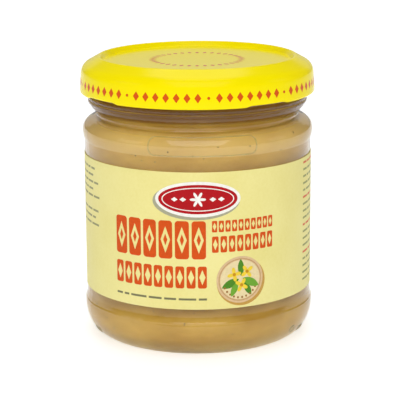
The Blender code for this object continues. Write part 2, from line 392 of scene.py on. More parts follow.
def with_parting_line(points):
    """Raises the fine ring that the mould's base plate leaves on the outside."""
    raised = []
    for p in points:
        lift = PARTING_REACH * math.exp(-((p.y - PARTING_HEIGHT) / PARTING_WIDTH) ** 2)
        raised.append(Vector((p.x + (lift if p.x > WALL_RADIUS else 0), p.y)))
    return raised


def raise_seams(mesh):
    """Presses the two upright mould seams out of the glass below the lid."""
    for vertex in mesh.vertices:
        radius = math.hypot(vertex.co.x, vertex.co.y)
        if radius < (NECK_RADIUS - 0.1) * MM or not 2 * MM < vertex.co.z < BEAD_HIGH * MM:
            continue
        bearing = math.degrees(math.atan2(vertex.co.y, vertex.co.x))
        for seam in SEAM_ANGLES:
            away = abs((bearing - seam + 180) % 360 - 180) * math.radians(1) * radius / MM
            lift = SEAM_REACH * math.exp(-(away / SEAM_WIDTH) ** 2)
            vertex.co.xy *= 1 + lift * MM / radius


print("the outside's section has", len(outside()), "points")

# %% The jar
glass_points = with_parting_line(outside()) + cavity(0.0, BORE_TOP)[::-1]
jar = turned_piece("jar", glass_points, JAR_SEGMENTS, GLASS)
raise_seams(jar.data)
dress(jar, "glass", "glass_jar")

# %% [markdown]
# ## Mustard
#
# Smooth mustard is a tan paste, wet but dull where the glass presses on it. Light goes a little way into it,
# so it gets some subsurface scattering. It fills the jar to just above the lid's edge. Seen through glass, a
# film of air between the two would mirror the room, so the mustard reaches a tenth of a millimetre into the
# wall.
#
# Its colour clouds softly, in streaks that lie level where it was poured. Light and shade are painted into its
# colour in three zones of height: a painted highlight behind the bulge of the shoulder, where the glass
# gathers light; a painted shade under the lid, which shades the paste there; and a greyer painted shade low
# down, by the foot.

# %% Mustard material
CLOUD_WIDTH = 16 * MM
GRAIN_WIDTH = 0.7 * MM
STREAK = 2.6
BELT_SHARE = 0.4
BELT_LOW, BELT_FULL = 58.3 * MM, 58.7 * MM
BELT_FADE, BELT_HIGH = 59.4 * MM, 66.0 * MM
LID_SHADE_LOW, LID_SHADE_HIGH = 67.5 * MM, 68.5 * MM
FOOT_LOW, FOOT_HIGH = 1.5 * MM, 5.5 * MM


def mustard_paste(tree, place):
    """Ground mustard paste: dull, softly clouded tan with a very fine grain, and painted light and shade by
    height.
    """
    smeared = add(tree, "ShaderNodeMapping", {"Vector": place, "Scale": (1.0, 1.0, STREAK)})
    cloud = add(tree, "ShaderNodeTexNoise", {"Vector": smeared, "Scale": 1 / CLOUD_WIDTH, "Detail": 3.0})
    share = add(tree, "ShaderNodeMapRange", {0: cloud, 1: 0.3, 2: 0.7})
    grain = add(tree, "ShaderNodeTexNoise", {"Vector": place, "Scale": 1 / GRAIN_WIDTH, "Detail": 2.0})
    colour = add(tree, "ShaderNodeMix", {
        0: share, 6: linear("D09D36"), 7: linear("EFC158")}, data_type="RGBA")
    fine = add(tree, "ShaderNodeMix", {
        0: grain, 6: linear("F2ECE0"), 7: linear("FFFFFF")}, data_type="RGBA")
    both = add(tree, "ShaderNodeMix", {
        0: 1.0, 6: colour.outputs[2], 7: fine.outputs[2]}, data_type="RGBA", blend_type="MULTIPLY")
    height = add(tree, "ShaderNodeSeparateXYZ", {0: place}).outputs[2]
    # Painted highlight behind the shoulder's bulge, where the glass gathers light: the paste is drawn towards
    # a pale tan.
    low = add(tree, "ShaderNodeMapRange", {0: height, 1: BELT_LOW, 2: BELT_FULL, 3: 0.0, 4: 1.0},
              interpolation_type="SMOOTHSTEP")
    high = add(tree, "ShaderNodeMapRange", {0: height, 1: BELT_FADE, 2: BELT_HIGH, 3: 1.0, 4: 0.0},
               interpolation_type="SMOOTHSTEP")
    painted_highlight_band = add(tree, "ShaderNodeMath", {0: low, 1: high}, operation="MULTIPLY")
    painted_highlight_share = add(tree, "ShaderNodeMath", {0: painted_highlight_band, 1: BELT_SHARE}, operation="MULTIPLY")
    lit = add(tree, "ShaderNodeMix", {
        0: painted_highlight_share, 6: both.outputs[2], 7: linear("FADA9C")}, data_type="RGBA").outputs[2]
    # Painted shade under the lid: above this height the paste's colour is multiplied darker.
    painted_lid_shade = add(tree, "ShaderNodeMapRange", {0: height, 1: LID_SHADE_LOW, 2: LID_SHADE_HIGH})
    lid_shaded = add(tree, "ShaderNodeMix", {
        0: painted_lid_shade, 6: lit, 7: linear("B89A30")}, data_type="RGBA", blend_type="MULTIPLY").outputs[2]
    # Painted shade low down, where the thick foot shades the paste: its colour is multiplied greyer towards
    # the table.
    foot = add(tree, "ShaderNodeMapRange", {0: height, 1: FOOT_LOW, 2: FOOT_HIGH, 3: 1.0, 4: 0.0})
    shaded = add(tree, "ShaderNodeMix", {
        0: foot, 6: lid_shaded, 7: linear("D0D3C8")}, data_type="RGBA", blend_type="MULTIPLY").outputs[2]
    bump = add(tree, "ShaderNodeBump", {"Height": grain, "Strength": 0.2, "Distance": 0.05 * MM})
    return add(tree, "ShaderNodeBsdfPrincipled", {
        "Base Color": shaded, "Roughness": 0.55, "IOR": 1.4, "Subsurface Weight": 0.2,
        "Subsurface Radius": (1.0, 0.6, 0.25), "Subsurface Scale": 1.2 * MM, "Normal": bump})


def clouded(tree, place, width, detail, dark, light):
    """A colour that drifts between two hex codes in soft clouds of this width."""
    cloud = add(tree, "ShaderNodeTexNoise", {"Vector": place, "Scale": 1 / width, "Detail": detail})
    return add(tree, "ShaderNodeMix", {
        0: cloud, 6: linear(dark), 7: linear(light)}, data_type="RGBA").outputs[2]


def husk(tree, place):
    """A fleck of dark seed husk in the paste."""
    colour = clouded(tree, place, 3 * MM, 1.0, "6E4A1E", "A07A3A")
    return add(tree, "ShaderNodeBsdfPrincipled", {"Base Color": colour, "Roughness": 0.6})


MUSTARD = new_material("Mustard paste", mustard_paste)
HUSK = new_material("Seed husk", husk)
print("made", MUSTARD.name, "and", HUSK.name)

# %% The mustard
FILL_HEIGHT = 73.0
SWELL_HEIGHT = 0.8
INTO_WALL = 0.1

surface = arc((0.0, FILL_HEIGHT), BORE_RADIUS + INTO_WALL, SWELL_HEIGHT, 0, 90, 10)
mustard_points = dense(cavity(INTO_WALL, FILL_HEIGHT)[:-1] + surface, 1.0)
mustard = turned_piece("mustard_filling", mustard_points, 160, MUSTARD)
dress(mustard, "mustard", "mustard")

# %% [markdown]
# ## Flecks of husk
#
# The flecks are scattered over the mustard with Distribute Points on Faces. A little ball of eighty faces is
# instanced on each point, laid flat on the surface, scaled at random from a fixed seed, and made real at the
# end. They are a joined mesh of their own, because their colour differs from the paste.

# %% Scatter the flecks
FLECK_SIZE = 0.19 * MM
FLECKS_PER_AREA = 0.013 / MM ** 2
FLECK_FACES = 80


def scatter_tree():
    """Scatters small flattened balls over a surface, larger and smaller by chance."""
    tree, given = new_tree("Scatter flecks", (
        ("Surface", "NodeSocketGeometry"), ("Density", "NodeSocketFloat"), ("Size", "NodeSocketFloat"),
        ("Seed", "NodeSocketInt"), ("Material", "NodeSocketMaterial")))
    spread = add(tree, "GeometryNodeDistributePointsOnFaces", {
        "Mesh": given["Surface"], "Density": given["Density"], "Seed": given["Seed"]})
    ball = add(tree, "GeometryNodeMeshIcoSphere", {"Radius": given["Size"], "Subdivisions": 2})
    size = add(tree, "FunctionNodeRandomValue", {2: 0.5, 3: 1.4, "Seed": given["Seed"]}, data_type="FLOAT")
    scale = add(tree, "ShaderNodeCombineXYZ", {0: size.outputs[1], 1: size.outputs[1], 2: 0.7})
    flecks = add(tree, "GeometryNodeInstanceOnPoints", {
        "Points": spread.outputs["Points"], "Instance": ball, "Rotation": spread.outputs["Rotation"],
        "Scale": scale})
    close_tree(tree, flecks, given["Material"])
    return tree


flecks = grow("seed_flecks", scatter_tree(), {
    "Density": FLECKS_PER_AREA, "Size": FLECK_SIZE, "Seed": 11, "Material": HUSK}, mustard.data.copy())
print(len(flecks.data.polygons) // FLECK_FACES, "flecks")
dress(flecks, "mustard")

# %% [markdown]
# ## Flat shapes and how they wrap
#
# The label and all its print are flat things bent round the jar. A flat shape is a closed outline in mm on
# the unrolled label, with across to the right of the front's middle and up from the table. A filled 2D curve
# with a small extrude makes it a closed sheet, with an outline inside another as a hole. The sheet is cut
# into narrow strips and each point is moved onto the cylinder. Ink lies a few hundredths of a millimetre
# proud.

# %% Flat sheets and wrapping
STRIP = 1.2 * MM


def closed_line(curve, places):
    """Adds a closed line through these places to a curve."""
    spline = curve.splines.new("POLY")
    spline.points.add(len(places) - 1)
    for point, place in zip(spline.points, places):
        point.co = (*place, 1)
    spline.use_cyclic_u = True


def curve_mesh(curve):
    """The finished curve as a mesh."""
    worker = into_scene(curve.name, curve)
    mesh = as_mesh(worker)
    bpy.data.objects.remove(worker)
    return mesh


def flat_sheet(name, outlines, thickness):
    """A closed flat sheet from outlines in mm, lying on Z = 0 with its face up."""
    curve = bpy.data.curves.new(name, "CURVE")
    curve.dimensions = "2D"
    curve.fill_mode = "BOTH"
    curve.extrude = thickness / 2
    for outline in outlines:
        closed_line(curve, [(across * MM, up * MM, 0) for across, up in outline])
    mesh = curve_mesh(curve)
    form = bmesh.new()
    form.from_mesh(mesh)
    bmesh.ops.remove_doubles(form, verts=form.verts, dist=WELD / 2)
    for vertex in form.verts:
        vertex.co.z += thickness / 2
    form.to_mesh(mesh)
    form.free()
    return mesh


def wrap(mesh, radius):
    """Cuts a flat sheet into upright strips and bends it round the jar at this radius, its face outwards."""
    form = bmesh.new()
    form.from_mesh(mesh)
    low = min(v.co.x for v in form.verts)
    high = max(v.co.x for v in form.verts)
    for step in range(math.ceil(low / STRIP), math.ceil(high / STRIP)):
        cut = form.verts[:] + form.edges[:] + form.faces[:]
        bmesh.ops.bisect_plane(form, geom=cut, dist=WELD / 2,
                               plane_co=(step * STRIP, 0, 0), plane_no=(1, 0, 0))
    for vertex in form.verts:
        angle, reach = vertex.co.x / radius, radius + vertex.co.z
        vertex.co = (reach * math.sin(angle), -reach * math.cos(angle), vertex.co.y)
    form.to_mesh(mesh)
    form.free()
    mesh.shade_smooth()
    mesh.set_sharp_from_angle(angle=math.radians(30))


bend = math.degrees(STRIP / MM / PANEL_RADIUS)
print("a strip of paper", STRIP / MM, "mm wide bends by", round(bend, 2), "degrees")

# %% Outlines
def bar(left, right, low, high, rounding=0.0, steps=5):
    """An upright rectangle, with round corners if asked."""
    if rounding == 0:
        return [(left, low), (right, low), (right, high), (left, high)]
    centres = [(right - rounding, low + rounding, -90), (right - rounding, high - rounding, 0),
               (left + rounding, high - rounding, 90), (left + rounding, low + rounding, 180)]
    return [tuple(p) for x, y, start in centres
            for p in arc((x, y), rounding, rounding, start, start + 90, steps)]


def oval(across, up, half_width, half_height, steps=40):
    """A closed ellipse."""
    return [tuple(p) for p in arc((across, up), half_width, half_height, 0, 360, steps)[:-1]]


def lozenge(across, up, width, height):
    """A diamond standing on its point."""
    return [(across - width / 2, up), (across, up - height / 2),
            (across + width / 2, up), (across, up + height / 2)]


def leaf(across, up, length, width, angle, steps=8):
    """A pointed leaf that starts at a point and lies at an angle in degrees."""
    turn = math.radians(angle)
    outline = []
    for side in (1, -1):
        for step in range(steps):
            along = step / steps if side == 1 else 1 - step / steps
            out = side * width / 2 * math.sin(math.pi * along) ** 0.8
            outline.append((across + length * along * math.cos(turn) - out * math.sin(turn),
                            up + length * along * math.sin(turn) + out * math.cos(turn)))
    return outline


def blossom(across, up, radius, turn=0.0, petals=4, steps=48):
    """A flower of round petals as one outline."""
    outline = []
    for step in range(steps):
        angle = FULL_TURN * step / steps
        reach = radius * (0.66 + 0.34 * math.cos(petals * (angle - math.radians(turn))))
        outline.append((across + reach * math.cos(angle), up + reach * math.sin(angle)))
    return outline


print("a leaf has", len(leaf(0, 0, 5, 2, 0)), "points and a blossom", len(blossom(0, 0, 2)))

# %% [markdown]
# ## Marks of the mould
#
# On the shoulder's front the mould has a plain plate, a round-cornered rectangle that shows by its edge
# only, and on the heel a small ring. Both edges are thin round ribs of glass. A rib is an outline in the
# same across and up mm, laid on the jar at the radius that the glass has at each height, and given a round
# section.

# %% The plate on the shoulder and the ring on the heel
PLATE_LEFT, PLATE_RIGHT, PLATE_LOW, PLATE_HIGH = -14.2, 17.2, 58.9, 64.0
PLATE_ROUND, PLATE_RIB = 1.8, 0.17
MARK_ACROSS, MARK_UP, MARK_RIB = 33.0, 4.3, 0.24
MARK_HALF_WIDTH, MARK_HALF_HEIGHT = 1.1, 0.95


def bulge_radius(height):
    """The jar's outer radius in mm at a height on the shoulder's bulge."""
    away = height - SHOULDER_HEIGHT
    tall = SHOULDER_ROUND if away > 0 else BULGE_DROP
    return SHOULDER_CORE + (SHOULDER_RADIUS - SHOULDER_CORE) * math.sqrt(1 - (away / tall) ** 2)


def heel_radius(height):
    """The jar's outer radius in mm at a height on the round heel."""
    return BEARING_OUTER + (HEEL_RADIUS - BEARING_OUTER) * math.sqrt(1 - (1 - height / HEEL_HEIGHT) ** 2)


def outline_rib(name, outline, thickness, radius_at):
    """A thin round rib of glass that follows a closed outline on the jar, over half of it sunk in."""
    curve = bpy.data.curves.new(name, "CURVE")
    curve.dimensions = "3D"
    curve.bevel_depth = thickness * MM
    curve.bevel_resolution = 3
    places = []
    for across, up in outline:
        angle, reach = across / SHOULDER_RADIUS, radius_at(up) - thickness / 3
        places.append((reach * math.sin(angle) * MM, -reach * math.cos(angle) * MM, up * MM))
    closed_line(curve, places)
    mesh = curve_mesh(curve)
    mesh.materials.clear()
    mesh.materials.append(GLASS)
    mesh.shade_smooth()
    return into_scene(name, mesh)


plate_line = bar(PLATE_LEFT, PLATE_RIGHT, PLATE_LOW, PLATE_HIGH, PLATE_ROUND, 8)
plate_line = [tuple(p) for p in dense([Vector(p) for p in plate_line + plate_line[:1]], 0.8)][:-1]
plate_rib = outline_rib("shoulder_plate_rib", plate_line, PLATE_RIB, bulge_radius)
dress(plate_rib, "glass")
mark_line = oval(MARK_ACROSS, MARK_UP, MARK_HALF_WIDTH, MARK_HALF_HEIGHT, 24)
heel_ring = outline_rib("heel_ring_mark", mark_line, MARK_RIB, heel_radius)
dress(heel_ring, "glass")
print("the plate's rib has", len(plate_rib.data.polygons), "faces")

# %% [markdown]
# ## Coated paper and printing ink
#
# The label is machine-coated paper: a thin clay layer makes it smooth and gives it a satin sheen, and under
# it the felted fibres leave a faint cloudiness about a millimetre wide. Offset ink is a thin film in that
# surface, so every ink is the same recipe with another colour: a dielectric of index 1.5, a little glossier
# than the paper, its colour a few per cent uneven.

# %% Paper and ink materials
FIBRE_WIDTH = 0.8 * MM
SHEET_CLOUD = 18 * MM


def coated_paper(tree, place, deep, light):
    """Coated paper printed with a pale ground: satin, faintly clouded, with the fibres just showing."""
    cloud = add(tree, "ShaderNodeTexNoise", {"Vector": place, "Scale": 1 / SHEET_CLOUD, "Detail": 2.0})
    fibre = add(tree, "ShaderNodeTexNoise", {"Vector": place, "Scale": 1 / FIBRE_WIDTH, "Detail": 4.0})
    mixed = add(tree, "ShaderNodeMath", {0: fibre, 1: 0.4, 2: cloud}, operation="MULTIPLY_ADD")
    share = add(tree, "ShaderNodeMapRange", {0: mixed, 1: 0.45, 2: 0.95})
    colour = add(tree, "ShaderNodeMix", {
        0: share, 6: linear(deep), 7: linear(light)}, data_type="RGBA")
    bump = add(tree, "ShaderNodeBump", {"Height": fibre, "Strength": 0.15, "Distance": 0.02 * MM})
    return add(tree, "ShaderNodeBsdfPrincipled", {
        "Base Color": colour.outputs[2], "Roughness": 0.5, "IOR": 1.5, "Specular IOR Level": 0.2,
        "Normal": bump})


def offset_ink(tree, place, code):
    """A film of offset ink: an even colour that thins by a few per cent over the paper's fibres."""
    fibre = add(tree, "ShaderNodeTexNoise", {"Vector": place, "Scale": 1 / FIBRE_WIDTH, "Detail": 3.0})
    film = add(tree, "ShaderNodeMapRange", {0: fibre, 1: 0.3, 2: 0.7, 3: 0.94, 4: 1.06})
    colour = add(tree, "ShaderNodeVectorMath", {0: linear(code)[:3], 3: film}, operation="SCALE")
    return add(tree, "ShaderNodeBsdfPrincipled", {
        "Base Color": colour, "Roughness": 0.45, "IOR": 1.5, "Specular IOR Level": 0.15})


PAPER = new_material("Coated paper, pale yellow", coated_paper, "EBE08C", "F3EA9E")
print("made", PAPER.name)

# %% [markdown]
# ## The label
#
# One strip of paper goes round the panel and stops 9 mm short of itself at the back. It is 39.6 mm high and a
# tenth of a millimetre thick, and it lies right on the glass, where the CAD solid stands a little off.

# %% The label
LABEL_LOW, LABEL_HIGH = 14.8, 54.4
LABEL_GAP = 9.0
LABEL_CORNER = 1.0
PAPER_INNER, PAPER_THICK = 33.29, 0.11
PRINT_RADIUS = PAPER_INNER + PAPER_THICK

half_length = (FULL_TURN * PRINT_RADIUS - LABEL_GAP) / 2
cut_sheet = bar(-half_length, half_length, LABEL_LOW, LABEL_HIGH, LABEL_CORNER)
label_mesh = flat_sheet("label_paper", [cut_sheet], PAPER_THICK * MM)
wrap(label_mesh, PAPER_INNER * MM)
label_mesh.materials.append(PAPER)
label = into_scene("label_paper", label_mesh)
dress(label, "label_paper", "label")
print("the paper is", round(2 * half_length, 1), "mm long")

# %% [markdown]
# ## The print
#
# The print is a plain design of colour fields: a red oval plaque with a white rim, rows of orange tiles with
# lozenges left bare in them, a sprig of mustard flowers on a round ground, and columns of fine lines on both
# sides. It is laid on in layers, each in one ink, and a layer lies a little higher than the one below it. The
# tiles and the columns repeat, so loops write them, and a seeded draw sets the fine lines' lengths.

# %% Print: the plaque and the tiles
INK_STEP = 0.014
PRINT_CLEAR = 0.004
ORANGE, RED = "D6500E", "B30A16"
TILES_LEFT, TILES_RIGHT = -25.6, 2.2
SMALL_LEFT, SMALL_RIGHT, SMALL_TOP = 3.9, 22.7, 40.5
TALL_COUNT, TALL_GAP = 6, 0.75
BARE = 0.7


def tile_middles(left, right, count, gap):
    """The middles of equal tiles that fill a row with this gap between them, and the width of one tile."""
    pitch = (right - left + gap) / count
    return [left + pitch * i + (pitch - gap) / 2 for i in range(count)], pitch - gap


def chain(left, right, low, high, count, gap, rounding):
    """A row of upright tiles, each with a lozenge left bare in it."""
    middles, width = tile_middles(left, right, count, gap)
    tiles = [bar(x - width / 2, x + width / 2, low, high, rounding) for x in middles]
    return tiles + [lozenge(x, (low + high) / 2, width * BARE, (high - low) * BARE) for x in middles]


PLAQUE = (0.0, 46.7)
layers = [
    ("plaque_shadow", "A9A78C", 1, [oval(-0.5, 46.1, 12.5, 5.3)]),
    ("plaque_rim", "F6F4EC", 2, [oval(*PLAQUE, 12.2, 5.1)]),
    ("plaque_field", RED, 3, [oval(*PLAQUE, 11.3, 4.2)]),
    ("plaque_ornament", "F8F6F0", 4,
     [oval(*PLAQUE, 10.3, 3.4), oval(*PLAQUE, 10.0, 3.15), blossom(*PLAQUE, 2.3, petals=6)]
     + [lozenge(side * at, PLAQUE[1], 1.9, 1.3) for side in (-1, 1) for at in (4.2, 6.6)]),
    ("tiles", ORANGE, 1,
     chain(TILES_LEFT, TILES_RIGHT, 29.5, SMALL_TOP, TALL_COUNT, TALL_GAP, 0.9)
     + chain(TILES_LEFT, TILES_RIGHT + 0.2, 21.0, 27.4, 9, 0.65, 0.6)
     + chain(SMALL_LEFT, SMALL_RIGHT, 37.2, SMALL_TOP, 10, 0.45, 0.3)
     + chain(SMALL_LEFT, SMALL_RIGHT, 31.3, 36.0, 8, 0.55, 0.4)),
    ("tile_buds", ORANGE, 1,
     [lozenge(x, 35.0, 1.2, 3.4) for x in tile_middles(TILES_LEFT, TILES_RIGHT, TALL_COUNT, TALL_GAP)[0]]),
]
print(len(layers), "layers so far")

# %% Print: the sprig
SPRIG = (12.2, 23.0)
flower_places = ((-1.9, 1.6, 10), (2.0, 2.2, 35), (0.3, -1.6, 60))
leaf_places = ((-0.5, 0.2, 5.6, 2.3, 205), (0.6, 0.4, 5.8, 2.3, -28), (0.2, 1.0, 5.0, 1.9, 92),
               (-0.9, -0.6, 4.6, 1.8, 245), (1.0, -0.8, 4.6, 1.8, 300))
SEED_RING = 5.2
seed_places = [(SPRIG[0] + SEED_RING * math.cos(math.radians(a)),
                SPRIG[1] + SEED_RING * math.sin(math.radians(a))) for a in range(205, 345, 14)]
layers += [
    ("sprig_shade", "C79B4B", 1, [oval(SPRIG[0] + 0.4, SPRIG[1] - 0.7, 7.4, 6.9)]),
    ("sprig_ground", "DDBE92", 2, [oval(*SPRIG, 7.1, 6.8)]),
    ("sprig_ring", "C59D6B", 3, [oval(*SPRIG, 6.5, 6.2), oval(*SPRIG, 6.2, 5.9)]),
    ("sprig_dish", "EBD9A8", 3, [oval(*SPRIG, 6.0, 5.7)]),
    ("sprig_seeds", "9C6A2C", 4, [oval(x, y, 0.32, 0.32, 10) for x, y in seed_places]),
    ("sprig_flowers", "F2D23C", 6,
     [blossom(SPRIG[0] + x, SPRIG[1] + y, 2.1, turn) for x, y, turn in flower_places]),
    ("sprig_hearts", "C98F1E", 7,
     [oval(SPRIG[0] + x, SPRIG[1] + y, 0.5, 0.5, 12) for x, y, turn in flower_places]),
]
layers += [(f"sprig_leaf_{i + 1}", ("4F8A24", "6FA834")[i % 2], 4 + i % 2,
            [leaf(SPRIG[0] + x, SPRIG[1] + y, length, width, angle)])
           for i, (x, y, length, width, angle) in enumerate(leaf_places)]
print(len(layers), "layers with the sprig")

# %% Print: the fine lines
LINE_PITCH, LINE_HEIGHT, LINE_GAP = 2.05, 0.6, 0.75
COLUMN_LEFT, COLUMN_TOP = 38.3, 52.6
HEAD_ROWS = (0, 5, 9, 13)
draw = random.Random(7)


def fine_line(left, right, up):
    """A broken line: short bars of unequal length with narrow gaps between them."""
    bars = []
    start = left
    while start < right - 1.0:
        end = min(start + draw.uniform(1.6, 5.2), right)
        bars.append(bar(start, end, up, up + LINE_HEIGHT))
        start = end + LINE_GAP
    return bars


def column(left, right, top, count, skip=()):
    """Fine lines one under another, with some rows left out."""
    rows = [row for row in range(count) if row not in skip]
    return [shape for row in rows
            for shape in fine_line(left, right - draw.uniform(0, 4), top - row * LINE_PITCH)]


heads = [shape for row in HEAD_ROWS for shape in fine_line(COLUMN_LEFT, 52, COLUMN_TOP - row * LINE_PITCH)]
layers += [
    ("fine_lines_left", "9C9B6E", 1, column(-70, -32.6, 51.5, 9, skip=(5,))),
    ("fine_lines_right", "A0A15E", 1, column(COLUMN_LEFT, 74, COLUMN_TOP, 18, skip=HEAD_ROWS)),
    ("line_heads", "DB6A3A", 1, heads),
    ("caption_line", "7C7A58", 1, fine_line(TILES_LEFT, TILES_RIGHT + 0.2, 17.5)),
    ("back_plate", "F4F2EA", 1, [bar(79, 96, 22, 46, 1.2)]),
    ("back_frame", "8B8A5E", 2, [bar(80, 95, 23, 45, 0.8), bar(80.3, 94.7, 23.3, 44.7, 0.7)]
     + [bar(81.5, 93.5, 25.2 + 2.9 * row, 25.7 + 2.9 * row) for row in range(7)]),
    ("back_emblem", ORANGE, 1, [oval(-85, 40, 6, 6), blossom(-85, 40, 4.4, petals=6)]),
    ("back_tiles", ORANGE, 1, chain(-95, -75, 20.0, 24.0, 7, 0.5, 0.4)),
]
print(len(layers), "layers in all")

# %% Lay the print on the paper
inks = {}
for name, code, level, outlines in layers:
    if code not in inks:
        inks[code] = new_material("Offset ink " + code, offset_ink, code)
    sheet = flat_sheet(name, outlines, INK_STEP * MM)
    wrap(sheet, (PRINT_RADIUS + PRINT_CLEAR + INK_STEP * (level - 1)) * MM)
    sheet.materials.append(inks[code])
    dress(into_scene(name, sheet), "label_paper")
print(len(layers), "layers in", len(inks), "inks")

# %% [markdown]
# ## Enamelled tinplate
#
# The lid is tinplate, roller-coated with yellow enamel before it is pressed, and cured to a hard gloss. Under
# that gloss the film has a faint orange-peel, about half a millimetre across. The yellow is as saturated as a
# screen can show. The polarising filter leaves little of the gloss, so here too the specular level is low.

# %% Enamel material
PEEL_WIDTH = 0.5 * MM
FILM_CLOUD = 20 * MM


def tinplate_enamel(tree, place):
    """Stoved enamel on tinplate: smooth saturated yellow with a trace of orange-peel."""
    peel = add(tree, "ShaderNodeTexNoise", {"Vector": place, "Scale": 1 / PEEL_WIDTH, "Detail": 1.0})
    colour = clouded(tree, place, FILM_CLOUD, 2.0, "FFE900", "FFEE00")
    bump = add(tree, "ShaderNodeBump", {"Height": peel, "Strength": 0.2, "Distance": 0.01 * MM})
    return add(tree, "ShaderNodeBsdfPrincipled", {
        "Base Color": colour, "Roughness": 0.18, "IOR": 1.5, "Specular IOR Level": 0.1,
        "Normal": bump})


ENAMEL = new_material("Stoved enamel on tinplate", tinplate_enamel)
print("made", ENAMEL.name)

# %% [markdown]
# ## The lid
#
# A twist-off lid is a stamped disc: a sunk panel, a raised ring, a short skirt, and an edge that is curled
# inwards to a bead. The curl is pressed flat in four places, and these lugs grip the slanted threads of the
# glass. So the lid is a turned profile, and then its lower edge is drawn in and up a little at each lug.

# %% Lid sizes
LID_SEGMENTS = 288
LID_METAL = 0.4
LID_LOW, LID_HIGH = 72.0, 82.5
SKIRT_RADIUS, SKIRT_TOP_RADIUS, SKIRT_TOP, SKIRT_ROUND = 34.3, 33.85, 79.75, 3.4
CREST_INNER, CREST_OUTER, CREST_ROUND = 28.3, 28.9, 0.7
RECESS_RADIUS, RECESS_DEPTH = 27.4, 1.4
CURL = 0.65
LUG_COUNT, LUG_FIRST, LUG_SPAN = 4, 36.0, 22.0
LUG_LIFT, LUG_PULL, LUG_FADE = 0.4, 0.16, 3.0
print("the lid is", 2 * SKIRT_RADIUS, "mm wide and", LID_HIGH - LID_LOW, "mm high")

# %% The lid
def lid_section():
    """The lid's section, up the outside from the curl and back down the inside."""
    panel = LID_HIGH - RECESS_DEPTH
    under = LID_HIGH - LID_METAL
    outer = rounded([
        (SKIRT_RADIUS, LID_LOW + 2 * CURL, 0), (SKIRT_TOP_RADIUS, SKIRT_TOP, SKIRT_ROUND),
        (CREST_OUTER, LID_HIGH, CREST_ROUND), (CREST_INNER, LID_HIGH, CREST_ROUND),
        (RECESS_RADIUS, panel, 0.3), (0, panel, 0)])
    inner = rounded([
        (0, panel - LID_METAL, 0), (RECESS_RADIUS + LID_METAL / 2, panel - LID_METAL, 0.2),
        (CREST_INNER + LID_METAL / 2, under, 0.1), (CREST_OUTER - LID_METAL / 4, under, 0.3),
        (SKIRT_TOP_RADIUS - LID_METAL, SKIRT_TOP - LID_METAL / 2, SKIRT_ROUND - LID_METAL),
        (SKIRT_RADIUS - LID_METAL, LID_LOW + 2.4 * CURL, 0)])
    curl = arc((SKIRT_RADIUS - CURL, LID_LOW + CURL), CURL, CURL, -240, 0, 24)
    return dense(outer[:-1], 1.2) + [outer[-1]] + inner + curl + [outer[0]]


def press_lugs(mesh):
    """Draws the lower edge in and up at each lug, with soft ends."""
    half_pitch = 180 / LUG_COUNT
    for vertex in mesh.vertices:
        low = 1 - (vertex.co.z / MM - LID_LOW) / (3 * CURL)
        if low <= 0:
            continue
        bearing = math.degrees(math.atan2(vertex.co.y, vertex.co.x)) + 90 - LUG_FIRST
        away = abs((bearing + half_pitch) % (2 * half_pitch) - half_pitch) - LUG_SPAN / 2
        press = min(1.0, max(0.0, 0.5 - away / LUG_FADE)) * min(1.0, 2 * low)
        radius = math.hypot(vertex.co.x, vertex.co.y)
        vertex.co.xy *= 1 - LUG_PULL * MM / radius * press
        vertex.co.z += LUG_LIFT * MM * press * low


lid = turned_piece("twist_off_lid", lid_section(), LID_SEGMENTS, ENAMEL)
press_lugs(lid.data)
dress(lid, "lid_enamel", "lid")

# %% [markdown]
# ## Rings of copies
#
# The lid's printed border, and the grip marks that the mould leaves under the jar, are one small shape
# repeated round a circle. One tree makes them all: it sets points round the circle, keeps those places in
# each group that should have a copy, and instances the shape on them, turned to face outwards and leaning as
# asked.

# %% The ring tree
def ring_tree():
    """Copies of a shape round a circle, in groups of places of which some are kept."""
    tree, given = new_tree("Ring of copies", (
        ("Motif", "NodeSocketGeometry"), ("Count", "NodeSocketInt"), ("Group", "NodeSocketInt"),
        ("First", "NodeSocketInt"), ("Last", "NodeSocketInt"), ("Radius", "NodeSocketFloat"),
        ("Height", "NodeSocketFloat"), ("Start", "NodeSocketFloat"), ("Lean", "NodeSocketFloat"),
        ("Material", "NodeSocketMaterial")))
    index = add(tree, "GeometryNodeInputIndex")
    part = add(tree, "ShaderNodeMath", {0: index, 1: given["Count"]}, operation="DIVIDE")
    bearing = add(tree, "ShaderNodeMath", {0: part, 1: FULL_TURN, 2: given["Start"]},
                  operation="MULTIPLY_ADD")
    spoke = add(tree, "ShaderNodeCombineXYZ", {0: given["Radius"], 2: given["Height"]})
    place = add(tree, "ShaderNodeVectorRotate", {"Vector": spoke, "Angle": bearing}, rotation_type="Z_AXIS")
    points = add(tree, "GeometryNodePoints", {"Count": given["Count"], "Position": place})
    slot = add(tree, "ShaderNodeMath", {0: index, 1: given["Group"]}, operation="FLOORED_MODULO")
    late = add(tree, "FunctionNodeCompare", {0: slot, 1: given["First"]}, operation="GREATER_EQUAL")
    early = add(tree, "FunctionNodeCompare", {0: slot, 1: given["Last"]}, operation="LESS_EQUAL")
    kept = add(tree, "FunctionNodeBooleanMath", {0: late, 1: early}, operation="AND")
    pitch = add(tree, "ShaderNodeMath", {0: math.pi / 2, 1: given["Lean"]}, operation="SUBTRACT")
    heading = add(tree, "ShaderNodeMath", {0: bearing, 1: math.pi / 2}, operation="ADD")
    angles = add(tree, "ShaderNodeCombineXYZ", {0: pitch, 2: heading})
    turn = add(tree, "FunctionNodeEulerToRotation", {0: angles})
    copies = add(tree, "GeometryNodeInstanceOnPoints", {
        "Points": points, "Selection": kept, "Instance": given["Motif"], "Rotation": turn})
    close_tree(tree, copies, given["Material"], smooth=False)
    return tree


RING = ring_tree()
print("ring tree has", len(RING.nodes), "nodes")

# %% [markdown]
# ## The lid's border
#
# A border of orange-red lozenges runs round the skirt, nine groups of seven with a dot between them, and a
# smaller one lies on the sunk panel. They are printed on the flat sheet before it is pressed and cured with
# the enamel, so the ink is as smooth as the enamel.

